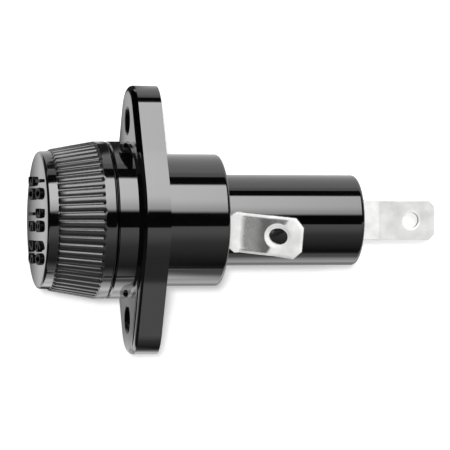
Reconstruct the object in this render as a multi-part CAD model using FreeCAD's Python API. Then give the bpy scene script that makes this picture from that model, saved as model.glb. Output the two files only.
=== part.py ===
import FreeCAD
import Part
import math
import os

# Panel mount fuse holder for a 10.3 x 38 mm cartridge fuse.
# The fuse axis is X. The origin is on that axis, in the flange's rear face, which lies on the panel.
# The screw cap is at -X in front of the panel, and the barrel with its two push-on tabs is at +X behind it.
# Y runs through the two screw holes, and +Z is the side that the side terminal leaves from.
# All sizes are in millimetres and all angles in degrees.

vec = FreeCAD.Vector
axis_x = vec(1, 0, 0)

# Cartridge fuse
fuse_length = 38.1
ferrule_diameter = 10.3
ferrule_length = 9.5
ferrule_wall = 0.4
fuse_tube_wall = 1.5
element_width = 2.6
element_thickness = 0.3
element_neck_width = 1.0
element_neck_length = 1.2
element_neck_pitch = 6.0
ferrule_corner = 0.5

# Moulded housing
flange_thickness = 4.5
flange_shoulder = 0.2
flange_ear_radius = 5.5
flange_edge_round = 0.9
screw_spacing = 31.0
screw_hole_diameter = 4.5
screw_hole_chamfer = 0.1
collar_diameter = 24.5
collar_length = 3.5
seam_edge_cut = 0.2
boss_diameter = 20.7
boss_length = 9.8
boss_edge_round = 0.5
barrel_wall = 1.4
barrel_edge_round = 0.6
end_wall = 2.7

# Screw cap
cap_seat_gap = 0.1
cap_length = 10.6
cap_front_wall = 2.2
cap_face_round = 0.6
cap_face_inset = 1.6
cap_band_length = 1.85
cap_rim_length = 1.65
cap_rim_rise = 0.05
cap_rib_step = 0.26
cap_skirt_wall = 2.2
cap_hub_wall = 1.9
cap_pocket_end_wall = 2.6
rib_count = 58
groove_width = 0.72
groove_floor_width = 0.3
groove_depth = 0.34
groove_front_rise = 0.06
groove_run_out = 0.2

# Drawn brass parts
sheet = 0.5
running_clearance = 0.05
sleeve_grip_length = 1.6
sleeve_neck_taper = 0.8
sleeve_body_gap = 0.45
sleeve_tail_inset = 0.9
sleeve_slit_width = 0.8
sleeve_slit_length = 6.0
sleeve_slit_count = 6
sleeve_corner = 0.8
sleeve_bead_height = 0.35
sleeve_bead_width = 0.9
sleeve_bead_inset = 1.3
thread_clearance = 0.6
shell_lip_width = 1.1
shell_lip_recess = 0.35
shell_lip_lead = 0.3
shell_length = 14.5
press_clearance = 0.04

# Spring and contact disc
spring_length = 5.4
spring_wire = 0.9
spring_turns = 3.5
disc_rim_height = 1.2
disc_rim_wall = 0.35
disc_side_gap = 0.3
disc_corner = 0.3
spring_side_gap = 0.1

# Rear contact cup
cup_finger_length = 5.0
cup_finger_wall = 0.4
cup_slit_count = 8
cup_slit_width = 0.7
cup_slit_floor = 1.0
cup_side_gap = 0.15
cup_corner = 0.3

# Terminals
strip_thickness = 0.9
tab_thickness = 0.8
tab_width = 6.35
tab_bevel_width = 0.5
tab_bevel_depth = 0.22
tab_hole_diameter = 2.75
tab_hole_inset = 4.0
tab_coin_depth = 0.2
end_stock_length = 4.1
end_tab_length = 9.25
end_tab_corner = 1.0
end_tab_coin_width = 0.25
end_foot_length = 4.7
end_bend_radius = 0.5
slot_clearance = 0.12
side_terminal_clock = 14.0
side_leg_length = 12.0
side_neck_width = 4.6
side_neck_inset = 0.9
side_shoulder_length = 1.5
side_bend_start = 1.75
side_bend_radius = 0.4
side_tab_lift = 27.0
side_stock_length = 2.5
side_tab_length = 7.5
side_tab_corner = 1.35
side_tab_coin_width = 0.6

# Rivets
rivet_shank_diameter = 1.8
rivet_head_diameter = 3.2
rivet_head_height = 0.5
rivet_head_cone = 0.25
rivet_clearance = 0.15
side_rivet_inset = 3.0
rear_rivet_offset = 2.7

# How far a cutter reaches past the face that it opens
cutter_reach = 1.0

# Places along the fuse axis, from the cap's face to the rear of the barrel
flange_front = -flange_thickness
collar_front = flange_front - collar_length
cap_rear = collar_front - cap_seat_gap
cap_front = cap_rear - cap_length
knurl_rear = cap_rear - cap_band_length
knurl_front = cap_front + cap_rim_length
sleeve_front = cap_front + cap_front_wall
spring_front = sleeve_front + sheet
spring_rear = spring_front + spring_length
fuse_front = spring_rear + sheet
fuse_rear = fuse_front + fuse_length
cup_rear = fuse_rear + sheet
barrel_floor = cup_rear + strip_thickness
barrel_rear = barrel_floor + end_wall
shell_front = collar_front + shell_lip_recess
shell_rear = shell_front + shell_length

# Radii about the fuse axis
ferrule_radius = ferrule_diameter / 2
grip_radius = ferrule_radius + running_clearance
sleeve_inner = ferrule_radius + sleeve_body_gap
sleeve_outer = sleeve_inner + sheet
shell_inner = sleeve_outer + thread_clearance
shell_outer = shell_inner + sheet
socket_radius = shell_outer + press_clearance
cup_outer = grip_radius + cup_finger_wall
bore_radius = cup_outer + cup_side_gap
barrel_radius = bore_radius + barrel_wall
collar_radius = collar_diameter / 2
flange_middle_radius = collar_radius + flange_shoulder
boss_radius = boss_diameter / 2
cap_radius = collar_radius
cap_face_radius = cap_radius - cap_face_inset
rim_rear_radius = cap_face_radius + cap_rim_rise
rib_front_radius = rim_rear_radius + cap_rib_step
hub_bore_radius = sleeve_outer + press_clearance
hub_radius = hub_bore_radius + cap_hub_wall

# The side terminal's leg lies flat on the shell, and leaves the boss just above the barrel
side_leg_seat = max(shell_outer, barrel_radius) + press_clearance
side_leg_top = side_leg_seat + strip_thickness
side_rivet_x = boss_length - side_leg_length + side_rivet_inset


def rounded_wire(corners):
    """A closed flat outline through (x, y, size) corners: each is rounded, or cut if size is below 0."""
    count = len(corners)
    runs = []
    for i in range(count):
        before, here, after = corners[i - 1], corners[i], corners[(i + 1) % count]
        point = vec(here[0], here[1], 0)
        if here[2] == 0:
            runs.append((point, point, None))
            continue
        to_before = (vec(before[0], before[1], 0) - point).normalize()
        to_after = (vec(after[0], after[1], 0) - point).normalize()
        if here[2] < 0:
            runs.append((point - to_before * here[2], point - to_after * here[2], None))
            continue
        half_angle = to_before.getAngle(to_after) / 2
        reach = here[2] / math.tan(half_angle)
        middle = (to_before + to_after).normalize()
        top = point + middle * (here[2] / math.sin(half_angle) - here[2])
        runs.append((point + to_before * reach, point + to_after * reach, top))
    edges = []
    for i in range(count):
        start, end, top = runs[i]
        if top is not None:
            edges.append(Part.Arc(start, top, end).toShape())
        elif start != end:
            edges.append(Part.LineSegment(start, end).toShape())
        following = runs[(i + 1) % count][0]
        if end.distanceToPoint(following) > 1e-6:
            edges.append(Part.LineSegment(end, following).toShape())
    return Part.Wire(edges)


def turned(corners):
    """A solid of revolution about the fuse axis, from (x, radius, corner radius) corners."""
    face = Part.Face(rounded_wire(corners))
    return face.revolve(vec(0, 0, 0), axis_x, 360)


def rod(x_start, x_end, radius):
    """A round rod on the fuse axis."""
    return Part.makeCylinder(radius, x_end - x_start, vec(x_start, 0, 0), axis_x)


def block(x_start, x_end, width, z_start, z_end):
    """A box that is centred on Y = 0."""
    corner = vec(x_start, -width / 2, z_start)
    return Part.makeBox(x_end - x_start, width, z_end - z_start, corner)


def clocked(shape, angle):
    """A copy turned about the fuse axis."""
    copy = shape.copy()
    copy.rotate(vec(0, 0, 0), axis_x, angle)
    return copy


def ring_of(shape, count):
    """Copies of one shape, evenly spaced about the fuse axis."""
    return [clocked(shape, 360.0 * i / count) for i in range(count)]


def flange_outline():
    """The two-eared outline: one large round and two ear rounds, joined by their tangent lines."""
    ear_y = screw_spacing / 2
    middle = flange_middle_radius
    ear = flange_ear_radius
    lean = math.asin((middle - ear) / ear_y)

    def point(centre_y, radius, angle):
        return vec(0, centre_y + radius * math.sin(angle), radius * math.cos(angle))

    edges = []
    for side in (1, -1):
        tangent = lean if side > 0 else math.pi + lean
        opposite = math.pi - lean if side > 0 else -lean
        start = point(side * ear_y, ear, tangent)
        tip = point(side * ear_y, ear, side * math.pi / 2)
        end = point(side * ear_y, ear, opposite)
        edges.append(Part.Arc(start, tip, end).toShape())
        flank_end = point(0, middle, opposite)
        edges.append(Part.LineSegment(end, flank_end).toShape())
        crown = point(0, middle, math.pi if side > 0 else 0)
        next_start = point(0, middle, math.pi + lean if side > 0 else lean)
        edges.append(Part.Arc(flank_end, crown, next_start).toShape())
        next_ear = point(-side * ear_y, ear, math.pi + lean if side > 0 else lean)
        edges.append(Part.LineSegment(next_start, next_ear).toShape())
    return Part.Wire(Part.__sortEdges__(edges))


def flange_plate():
    """The flange with its rounded front edge and its two screw holes."""
    plate = Part.Face(flange_outline()).extrude(vec(-flange_thickness, 0, 0))
    front = [e for e in plate.Edges if abs(e.BoundBox.XMax - flange_front) < 1e-6]
    return plate.makeFillet(flange_edge_round, front)


def screw_holes():
    """Cutters for the screw holes, with a small chamfer at the front."""
    hole_radius = screw_hole_diameter / 2
    cutters = []
    for side in (1, -1):
        centre = vec(flange_front, side * screw_spacing / 2, 0)
        cutters.append(Part.makeCylinder(hole_radius, flange_thickness, centre, axis_x))
        cutters.append(
            Part.makeCone(
                hole_radius + screw_hole_chamfer,
                hole_radius,
                screw_hole_chamfer,
                centre,
                axis_x,
            )
        )
    return cutters


def housing():
    """The moulded housing: collar, flange, boss and barrel in one piece."""
    body = turned(
        [
            (collar_front, 0, 0),
            (collar_front, collar_radius, -seam_edge_cut),
            (flange_front / 2, collar_radius, 0),
            (flange_front / 2, boss_radius, 0),
            (boss_length, boss_radius, boss_edge_round),
            (boss_length, barrel_radius, 0),
            (barrel_rear, barrel_radius, barrel_edge_round),
            (barrel_rear, 0, 0),
        ]
    )
    body = body.fuse(flange_plate()).removeSplitter()

    lip_radius = shell_outer + shell_lip_width + press_clearance
    hollow = turned(
        [
            (collar_front - cutter_reach, 0, 0),
            (collar_front - cutter_reach, lip_radius, 0),
            (shell_front + sheet, lip_radius, 0),
            (shell_front + sheet, socket_radius, 0),
            (shell_rear, socket_radius, 0),
            (shell_rear, bore_radius, 0),
            (barrel_floor, bore_radius, 0),
            (barrel_floor, 0, 0),
        ]
    )
    body = body.cut([hollow] + screw_holes())

    # Keyway for the side terminal's leg, and the deeper groove that its rivet head slides through
    leg_width = tab_width + 2 * slot_clearance
    keyway = block(collar_front, boss_length, leg_width, side_leg_seat - slot_clearance / 2,
                   side_leg_top + slot_clearance)
    keyway_mouth = block(collar_front, shell_rear, leg_width, 0, side_leg_top + slot_clearance)
    head_groove = block(
        collar_front,
        side_rivet_x + rivet_head_diameter / 2 + rivet_clearance,
        rivet_head_diameter + 2 * rivet_clearance,
        side_leg_top,
        side_leg_top + rivet_head_height + rivet_clearance,
    )
    cutters = [clocked(c, side_terminal_clock) for c in (keyway, keyway_mouth, head_groove)]

    # Slot for the end terminal's blade, relieved at its bend, and the pocket for the rivet's head
    blade_width = tab_width + 2 * slot_clearance
    half = strip_thickness / 2 + slot_clearance
    relief = barrel_floor + end_bend_radius + slot_clearance
    slot_front = barrel_floor - cutter_reach
    cutters.append(block(slot_front, barrel_rear + cutter_reach, blade_width, -half, half))
    cutters.append(block(slot_front, relief, blade_width, 0, half + end_bend_radius))
    pocket_radius = rivet_head_diameter / 2 + rivet_clearance
    cutters.append(
        Part.makeCylinder(
            pocket_radius,
            rivet_head_height + rivet_clearance,
            vec(barrel_floor, 0, rear_rivet_offset),
            axis_x,
        )
    )
    return body.cut(cutters)


def cap():
    """The moulded screw cap with its ribbed grip, hub and coring pocket."""
    skirt_inner = cap_radius - cap_skirt_wall
    pocket_front = cap_front + cap_pocket_end_wall
    rib_slope = (rib_front_radius - cap_radius) / (knurl_rear - knurl_front)
    pocket_front_radius = skirt_inner + rib_slope * (cap_rear - pocket_front)
    bead_rear = cap_rear - sleeve_bead_inset
    bead_front = bead_rear - sleeve_bead_width
    bead_radius = hub_bore_radius + sleeve_bead_height
    body = turned(
        [
            (cap_front, 0, 0),
            (cap_front, cap_face_radius, cap_face_round),
            (knurl_front, rim_rear_radius, 0),
            (knurl_front, rib_front_radius, 0),
            (knurl_rear, cap_radius, 0),
            (cap_rear, cap_radius, -seam_edge_cut),
            (cap_rear, skirt_inner, 0),
            (pocket_front, pocket_front_radius, 0),
            (pocket_front, hub_radius, 0),
            (cap_rear, hub_radius, 0),
            (cap_rear, hub_bore_radius, 0),
            (bead_rear, hub_bore_radius, 0),
            (bead_rear, bead_radius, 0),
            (bead_front, bead_radius, 0),
            (bead_front, hub_bore_radius, 0),
            (sleeve_front, hub_bore_radius, 0),
            (sleeve_front, 0, 0),
        ]
    )
    return body.cut(ring_of(grip_groove(), rib_count))


def grip_groove():
    """Cutter for one groove between two ribs: a slanted bar with a narrow floor and leaning walls."""
    floor_front = rim_rear_radius + groove_front_rise
    floor_rear = cap_radius - groove_depth
    slope = (floor_rear - floor_front) / (knurl_rear - knurl_front)
    run = knurl_rear - knurl_front + groove_run_out
    height = groove_depth + groove_run_out
    lean = (groove_width - groove_floor_width) / (2 * groove_depth)
    x = knurl_front - groove_run_out
    z = floor_front - slope * groove_run_out
    half_floor = groove_floor_width / 2
    half_top = half_floor + lean * height
    corners = [
        vec(x, half_floor, z),
        vec(x, half_top, z + height),
        vec(x, -half_top, z + height),
        vec(x, -half_floor, z),
        vec(x, half_floor, z),
    ]
    return Part.Face(Part.makePolygon(corners)).extrude(vec(run, 0, slope * run))


def cap_contact_sleeve():
    """The drawn brass sleeve in the cap: closed at the front, with fingers that grip the fuse."""
    tail = fuse_front + ferrule_length - sleeve_tail_inset + sleeve_grip_length / 2
    grip_front = tail - sleeve_grip_length
    taper_front = grip_front - sleeve_neck_taper
    bead_rear = cap_rear - sleeve_bead_inset - press_clearance
    bead_front = bead_rear - sleeve_bead_width + 2 * press_clearance
    bead_top = sleeve_outer + sleeve_bead_height
    body = turned(
        [
            (sleeve_front, 0, 0),
            (sleeve_front, sleeve_outer, -sleeve_corner),
            (bead_front, sleeve_outer, 0),
            (bead_front, bead_top, 0),
            (bead_rear, bead_top, 0),
            (bead_rear, sleeve_outer, 0),
            (taper_front, sleeve_outer, 0),
            (grip_front, grip_radius + sheet, 0),
            (tail, grip_radius + sheet, 0),
            (tail, grip_radius, 0),
            (grip_front, grip_radius, 0),
            (taper_front, sleeve_inner, 0),
            (spring_front, sleeve_inner, 0),
            (spring_front, 0, 0),
        ]
    )
    slit = block(tail - sleeve_slit_length, tail + cutter_reach, sleeve_slit_width, 0,
                 sleeve_outer + cutter_reach)
    return body.cut(ring_of(slit, sleeve_slit_count))


def front_shell():
    """The drawn brass shell in the housing's mouth, which the cap's sleeve screws into."""
    lip_radius = shell_outer + shell_lip_width
    body = turned(
        [
            (shell_front, shell_inner, -shell_lip_lead),
            (shell_front, lip_radius, 0),
            (shell_front + sheet, lip_radius, 0),
            (shell_front + sheet, shell_outer, 0),
            (shell_rear, shell_outer, 0),
            (shell_rear, shell_inner, 0),
        ]
    )
    notch = block(shell_front - cutter_reach, shell_front + sheet + press_clearance,
                  rivet_head_diameter + 2 * rivet_clearance, shell_outer + press_clearance,
                  lip_radius + cutter_reach)
    return body.cut([clocked(c, side_terminal_clock) for c in (notch, side_rivet_shank())])


def formed_head(base, direction):
    """A rivet's formed head: a short drum with a coned top."""
    radius = rivet_head_diameter / 2
    drum_height = rivet_head_height - rivet_head_cone
    drum = Part.makeCylinder(radius, drum_height, base, direction)
    top_base = base + direction * drum_height
    top = Part.makeCone(radius, radius - rivet_head_cone, rivet_head_cone, top_base, direction)
    return drum.fuse(top)


def side_rivet_shank():
    """The side rivet's shank, which is also the cutter for its hole."""
    return Part.makeCylinder(rivet_shank_diameter / 2, side_leg_top, vec(side_rivet_x, 0, 0))


def side_terminal_rivet():
    """The rivet that holds the side terminal's leg to the shell, flush inside the shell."""
    shank = side_rivet_shank().cut(rod(shell_front, shell_rear, shell_inner))
    head = formed_head(vec(side_rivet_x, 0, side_leg_top), vec(0, 0, 1))
    return clocked(shank.fuse(head).removeSplitter(), side_terminal_clock)


def strip_outline(corners):
    """A flat strip outline on Y = 0's two sides, from (x, half width) corners along one edge."""
    points = [vec(x, half, 0) for x, half in corners]
    points += [vec(x, -half, 0) for x, half in reversed(corners)]
    return Part.Face(Part.makePolygon(points + points[:1]))


def bevelled_bar(length, thickness):
    """A bar along +X from the origin, with its two long edges bevelled."""
    half_width = tab_width / 2
    half_thick = thickness / 2
    edge = half_thick - tab_bevel_depth
    flat = half_width - tab_bevel_width
    corners = [(flat, half_thick), (half_width, edge), (half_width, -edge), (flat, -half_thick)]
    points = [vec(0, y, z) for y, z in corners] + [vec(0, -y, z) for y, z in reversed(corners)]
    return Part.Face(Part.makePolygon(points + points[:1])).extrude(vec(length, 0, 0))


def tab_plate(length, corner, coin_width):
    """A push-on tab along +X from the origin, with bevelled edges, cut corners and its hole."""
    half_width = tab_width / 2
    half_thick = tab_thickness / 2
    outline = strip_outline([(0, half_width), (length - corner, half_width),
                             (length, half_width - corner)])
    blank = outline.extrude(vec(0, 0, tab_thickness))
    blank.translate(vec(0, 0, -half_thick))
    edge = half_thick - tab_bevel_depth
    profile = [(0, half_thick), (length - tab_bevel_width, half_thick), (length, edge),
               (length, -edge), (length - tab_bevel_width, -half_thick), (0, -half_thick)]
    points = [vec(x, -half_width, z) for x, z in profile]
    wedge = Part.Face(Part.makePolygon(points + points[:1])).extrude(vec(0, tab_width, 0))
    hole_x = length - tab_hole_inset
    hole_radius = tab_hole_diameter / 2
    hole = Part.makeCylinder(hole_radius, tab_thickness, vec(hole_x, 0, -half_thick))
    coin = Part.makeCone(
        hole_radius,
        hole_radius + coin_width,
        tab_coin_depth,
        vec(hole_x, 0, half_thick - tab_coin_depth),
    )
    plate = bevelled_bar(length, tab_thickness).common(wedge).common(blank)
    return plate.cut([hole, coin])


def side_terminal():
    """The folded side terminal: a leg along the shell, a waisted neck, a bend, and the tab."""
    leg_front = boss_length - side_leg_length
    waist_front = boss_length - side_neck_inset
    bend_start = boss_length + side_bend_start
    shoulder_start = bend_start - side_shoulder_length
    half_width = tab_width / 2
    half_neck = side_neck_width / 2
    leg = strip_outline(
        [
            (leg_front, half_width),
            (waist_front - (half_width - half_neck), half_width),
            (waist_front, half_neck),
            (shoulder_start, half_neck),
            (bend_start, half_width),
        ]
    ).extrude(vec(0, 0, strip_thickness))
    leg.translate(vec(0, 0, side_leg_seat))

    # The bend turns about a line above the strip, across its width
    end_face = Part.Face(
        Part.makePolygon(
            [
                vec(bend_start, -half_width, side_leg_seat),
                vec(bend_start, half_width, side_leg_seat),
                vec(bend_start, half_width, side_leg_top),
                vec(bend_start, -half_width, side_leg_top),
                vec(bend_start, -half_width, side_leg_seat),
            ]
        )
    )
    bend_line = vec(bend_start, 0, side_leg_top + side_bend_radius)
    bend = end_face.revolve(bend_line, vec(0, -1, 0), side_tab_lift)

    # The stock and the thinner tab are built flat, tilted, and moved to the bend's end
    lift = math.radians(side_tab_lift)
    mid_radius = side_bend_radius + strip_thickness / 2
    bend_end = bend_line + vec(math.sin(lift), 0, -math.cos(lift)) * mid_radius
    tab = tab_plate(side_tab_length, side_tab_corner, side_tab_coin_width)
    tab.translate(vec(side_stock_length, 0, 0))
    tab = tab.fuse(bevelled_bar(side_stock_length, strip_thickness))
    tab.rotate(vec(0, 0, 0), vec(0, -1, 0), side_tab_lift)
    tab.translate(bend_end)
    strip = leg.fuse([bend, tab]).removeSplitter()
    return clocked(strip.cut(side_rivet_shank()), side_terminal_clock)


def rear_contact_cup():
    """The brass cup at the bottom of the barrel, with fingers round the fuse's rear ferrule."""
    mouth = fuse_rear - cup_finger_length
    body = turned(
        [
            (mouth, grip_radius, 0),
            (mouth, cup_outer, 0),
            (cup_rear, cup_outer, -cup_corner),
            (cup_rear, 0, 0),
            (fuse_rear, 0, 0),
            (fuse_rear, grip_radius, 0),
        ]
    )
    slit = block(mouth - cutter_reach, fuse_rear - cup_slit_floor, cup_slit_width, 0,
                 cup_outer + cutter_reach)
    return body.cut(ring_of(slit, cup_slit_count) + [rear_rivet_shank()])


def rear_rivet_shank():
    """The rear rivet's shank, which is also the cutter for its hole in the cup and the foot."""
    return Part.makeCylinder(
        rivet_shank_diameter / 2,
        sheet + strip_thickness,
        vec(fuse_rear, 0, rear_rivet_offset),
        axis_x,
    )


def rear_contact_rivet():
    """The rivet that clamps the cup to the end terminal's foot."""
    head = formed_head(vec(barrel_floor, 0, rear_rivet_offset), axis_x)
    return rear_rivet_shank().fuse(head).removeSplitter()


def end_terminal():
    """The folded end terminal: a foot under the cup, and a blade out through the end wall."""
    half = strip_thickness / 2
    stock_end = barrel_rear + end_stock_length
    profile = rounded_wire(
        [
            (cup_rear, -half, end_bend_radius + strip_thickness),
            (cup_rear, end_foot_length, 0),
            (barrel_floor, end_foot_length, 0),
            (barrel_floor, half, end_bend_radius),
            (stock_end, half, 0),
            (stock_end, -half, 0),
        ]
    )
    face = Part.Face(profile)
    face.rotate(vec(0, 0, 0), axis_x, 90)
    face.translate(vec(0, tab_width / 2, 0))
    strip = face.extrude(vec(0, -tab_width, 0))
    tab = tab_plate(end_tab_length, end_tab_corner, end_tab_coin_width)
    tab.translate(vec(stock_end, 0, 0))
    strip = strip.common(rod(fuse_rear, stock_end, bore_radius - cup_side_gap)).fuse(tab)
    return strip.removeSplitter().cut(rear_rivet_shank())


def fuse_ferrule(closed_end, open_end):
    """One ferrule of the fuse, drawn as a cup."""
    inward = math.copysign(ferrule_wall, open_end - closed_end)
    inner = ferrule_radius - ferrule_wall
    return turned(
        [
            (closed_end, 0, 0),
            (closed_end, ferrule_radius, -ferrule_corner),
            (open_end, ferrule_radius, 0),
            (open_end, inner, 0),
            (closed_end + inward, inner, 0),
            (closed_end + inward, 0, 0),
        ]
    )


def fuse_tube():
    """The fuse's insulating tube, which carries the ferrules."""
    outer = ferrule_radius - ferrule_wall - press_clearance / 2
    inner = outer - fuse_tube_wall
    front = fuse_front + ferrule_wall
    rear = fuse_rear - ferrule_wall
    return turned([(front, inner, 0), (front, outer, 0), (rear, outer, 0), (rear, inner, 0)])


def fuse_element():
    """The fuse element: a strip between the ferrules, with narrow necks along it."""
    start = fuse_front + ferrule_wall
    end = fuse_rear - ferrule_wall
    half = element_thickness / 2
    strip = block(start, end, element_width, -half, half)
    neck_count = int((end - start) / element_neck_pitch) - 1
    first = (start + end) / 2 - element_neck_pitch * (neck_count - 1) / 2
    notches = []
    for i in range(neck_count):
        middle = first + i * element_neck_pitch
        span = block(middle - element_neck_length / 2, middle + element_neck_length / 2,
                     element_width, -half, half)
        kept = block(middle - element_neck_length, middle + element_neck_length,
                     element_neck_width, -half, half)
        notches.append(span.cut(kept))
    return strip.cut(notches)


def contact_disc():
    """The shallow cup between the spring and the fuse."""
    outer = sleeve_inner - disc_side_gap
    inner = outer - disc_rim_wall
    rim = spring_rear - disc_rim_height
    return turned(
        [
            (fuse_front, 0, 0),
            (fuse_front, outer, -disc_corner),
            (rim, outer, 0),
            (rim, inner, 0),
            (spring_rear, inner, 0),
            (spring_rear, 0, 0),
        ]
    )


def cap_spring():
    """The compression spring behind the fuse: tilted half turns that run smoothly into each other."""
    coil_outer = sleeve_inner - disc_side_gap - disc_rim_wall - spring_side_gap
    coil_radius = coil_outer - spring_wire / 2
    first_x = spring_front + press_clearance + spring_wire / 2
    last_x = spring_rear - press_clearance - spring_wire / 2
    step = (last_x - first_x) / (4 * spring_turns)

    def point(quarter):
        angle = quarter * math.pi / 2
        return vec(
            first_x + quarter * step,
            coil_radius * math.sin(angle),
            coil_radius * math.cos(angle),
        )

    half_turns = [
        Part.Arc(point(q), point(q + 1), point(q + 2)).toShape()
        for q in range(0, int(4 * spring_turns), 2)
    ]
    section = Part.makeCircle(spring_wire / 2, point(0), vec(0, 1, 0))
    return Part.Wire(half_turns).makePipeShell([Part.Wire(section)], True, True)


def cap_side_pieces():
    """What is carried by the cap, the spring and the fuse."""
    return {
        "cap": cap(),
        "cap_contact_sleeve": cap_contact_sleeve(),
        "cap_spring": cap_spring(),
        "contact_disc": contact_disc(),
        "fuse_front_ferrule": fuse_ferrule(fuse_front, fuse_front + ferrule_length),
        "fuse_rear_ferrule": fuse_ferrule(fuse_rear, fuse_rear - ferrule_length),
        "fuse_tube": fuse_tube(),
        "fuse_element": fuse_element(),
    }


def housing_side_pieces():
    """What stays on the panel."""
    return {
        "housing": housing(),
        "front_shell": front_shell(),
        "side_terminal": side_terminal(),
        "side_terminal_rivet": side_terminal_rivet(),
        "rear_contact_cup": rear_contact_cup(),
        "rear_contact_rivet": rear_contact_rivet(),
        "end_terminal": end_terminal(),
    }


os.makedirs("parts", exist_ok=True)
for name, shape in {**housing_side_pieces(), **cap_side_pieces()}.items():
    shape.exportStep(os.path.join("parts", name + ".step"))
    print(name, "valid" if shape.isValid() else "NOT VALID", len(shape.Solids), "solid",
          round(shape.Volume, 2), "mm3", len(shape.Faces), "faces")
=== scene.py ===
# %% [markdown]
# # A panel mount fuse holder, dressed for its picture
#
# A panel mount fuse holder is a black moulded barrel that is screwed to the front of a cabinet. A
# ribbed cap closes it, a cartridge fuse sits inside it, and two tinned tabs behind the panel take
# push-on wires. The solids come from the engineering model at their real size, so this lesson
# never moves or resizes them. It adds what a camera sees: the glossy moulding, the plated metal,
# the rounded ribs, the rolled threads and a studio to look at them in.

# %% Load the engineering model
import math

import bpy
from mathutils import Matrix, Vector


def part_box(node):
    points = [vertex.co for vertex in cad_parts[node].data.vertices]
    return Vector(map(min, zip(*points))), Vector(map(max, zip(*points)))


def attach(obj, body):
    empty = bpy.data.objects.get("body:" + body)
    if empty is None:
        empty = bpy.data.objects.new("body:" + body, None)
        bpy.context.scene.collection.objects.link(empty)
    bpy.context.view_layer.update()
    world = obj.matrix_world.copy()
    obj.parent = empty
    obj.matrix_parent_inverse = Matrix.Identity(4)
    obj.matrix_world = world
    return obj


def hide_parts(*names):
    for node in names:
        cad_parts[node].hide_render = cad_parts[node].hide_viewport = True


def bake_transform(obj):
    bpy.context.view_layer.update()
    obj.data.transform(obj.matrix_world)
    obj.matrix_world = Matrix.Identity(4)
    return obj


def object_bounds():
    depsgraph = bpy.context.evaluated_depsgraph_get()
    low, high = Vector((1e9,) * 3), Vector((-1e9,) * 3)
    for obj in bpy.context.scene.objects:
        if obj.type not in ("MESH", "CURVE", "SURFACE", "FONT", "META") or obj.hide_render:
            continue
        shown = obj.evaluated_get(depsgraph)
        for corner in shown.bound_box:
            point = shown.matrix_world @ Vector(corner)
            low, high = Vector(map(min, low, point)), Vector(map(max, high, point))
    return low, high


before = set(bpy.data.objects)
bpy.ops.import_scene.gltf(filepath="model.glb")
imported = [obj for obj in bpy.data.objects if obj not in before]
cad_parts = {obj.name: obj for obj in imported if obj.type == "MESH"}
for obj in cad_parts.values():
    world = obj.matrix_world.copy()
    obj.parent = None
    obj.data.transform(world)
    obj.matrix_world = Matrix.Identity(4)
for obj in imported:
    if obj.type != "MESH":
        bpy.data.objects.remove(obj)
cad_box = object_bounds()
MM = 0.001
print("solids:", sorted(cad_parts))

# %% [markdown]
# ## The camera
#
# The holder lies on its side on a white table, and the camera looks down on it from 0.43 m. Its
# view is turned 12.8 degrees about the table's Y axis, which shows the cap's face as a slim
# ellipse. A long lens keeps the barrel's edges almost parallel. We could aim a camera with a
# constraint, but writing its three axes down makes the view exact and easy to read.

# %% Place the camera
camera_turn = math.radians(12.8)
camera_place = Vector((-86.39, -0.77, 429.33)) * MM
camera_lens = 224

camera_right = Vector((math.cos(camera_turn), 0, math.sin(camera_turn)))
camera_up = Vector((0, 1, 0))
camera_back = camera_right.cross(camera_up)
camera_data = bpy.data.cameras.new("photo_camera")
camera_data.lens = camera_lens
camera = bpy.data.objects.new("photo_camera", camera_data)
camera_axes = Matrix((camera_right, camera_up, camera_back)).transposed().to_4x4()
camera.matrix_world = Matrix.Translation(camera_place) @ camera_axes
bpy.context.scene.collection.objects.link(camera)
bpy.context.scene.camera = camera
bpy.context.scene.view_settings.view_transform = "Standard"
print("camera distance:", round(camera_place.length, 3), "m")

# %% [markdown]
# ## A helper for node trees
#
# Every finish below is a small tree of shader nodes. Writing each node as one call, with its
# settings and what feeds it, keeps a tree as short as the sentence that describes it.


# %% Node helper
def add_node(tree, kind, settings=None, inputs=None):
    """Adds a node. Settings are its own properties, and inputs are values or sockets to link."""
    node = tree.nodes.new(kind)
    for name, value in (settings or {}).items():
        setattr(node, name, value)
    for name, value in (inputs or {}).items():
        if isinstance(value, bpy.types.NodeSocket):
            tree.links.new(value, node.inputs[name])
        else:
            node.inputs[name].default_value = value
    return node


def math_node(tree, operation, *values):
    """The output socket of one arithmetic node."""
    node = add_node(tree, "ShaderNodeMath", {"operation": operation}, dict(enumerate(values)))
    return node.outputs[0]


def own_place(tree):
    """The place on the piece, in the piece's own coordinates."""
    return add_node(tree, "ShaderNodeTexCoord").outputs["Object"]


def axes_of(tree, vector):
    """The X, Y and Z sockets of a vector."""
    return add_node(tree, "ShaderNodeSeparateXYZ", inputs={0: vector}).outputs


# %% [markdown]
# ## The studio
#
# Glossy black plastic has almost no colour of its own: what we see is the room in it. The
# photograph's room can be read off the barrel, because each line along a cylinder mirrors one
# direction. From the camera's direction towards the top of the picture come a dark gap, a wide
# soft box, a second dark gap and then the white table. Towards the bottom come a dim grey wall
# and the table again.
#
# Lamps could make these bands, but a world map written with nodes puts every edge at its measured
# angle. The map only depends on the direction in the room, so it stays put when the camera moves.
# Each panel of light is a window in two coordinates: the angle about the fuse axis, and how far
# the direction leans along that axis.

# %% Light the room with a world map
world = bpy.data.worlds.new("studio")
world.use_nodes = True
bpy.context.scene.world = world
sky = world.node_tree
sky.nodes.clear()
direction = add_node(sky, "ShaderNodeTexCoord").outputs["Generated"]
axes = axes_of(sky, direction)
lean = axes["X"]
turn = math_node(sky, "ARCTAN2", axes["Y"], axes["Z"])
turn = math_node(sky, "MULTIPLY", turn, math.degrees(1))


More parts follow.
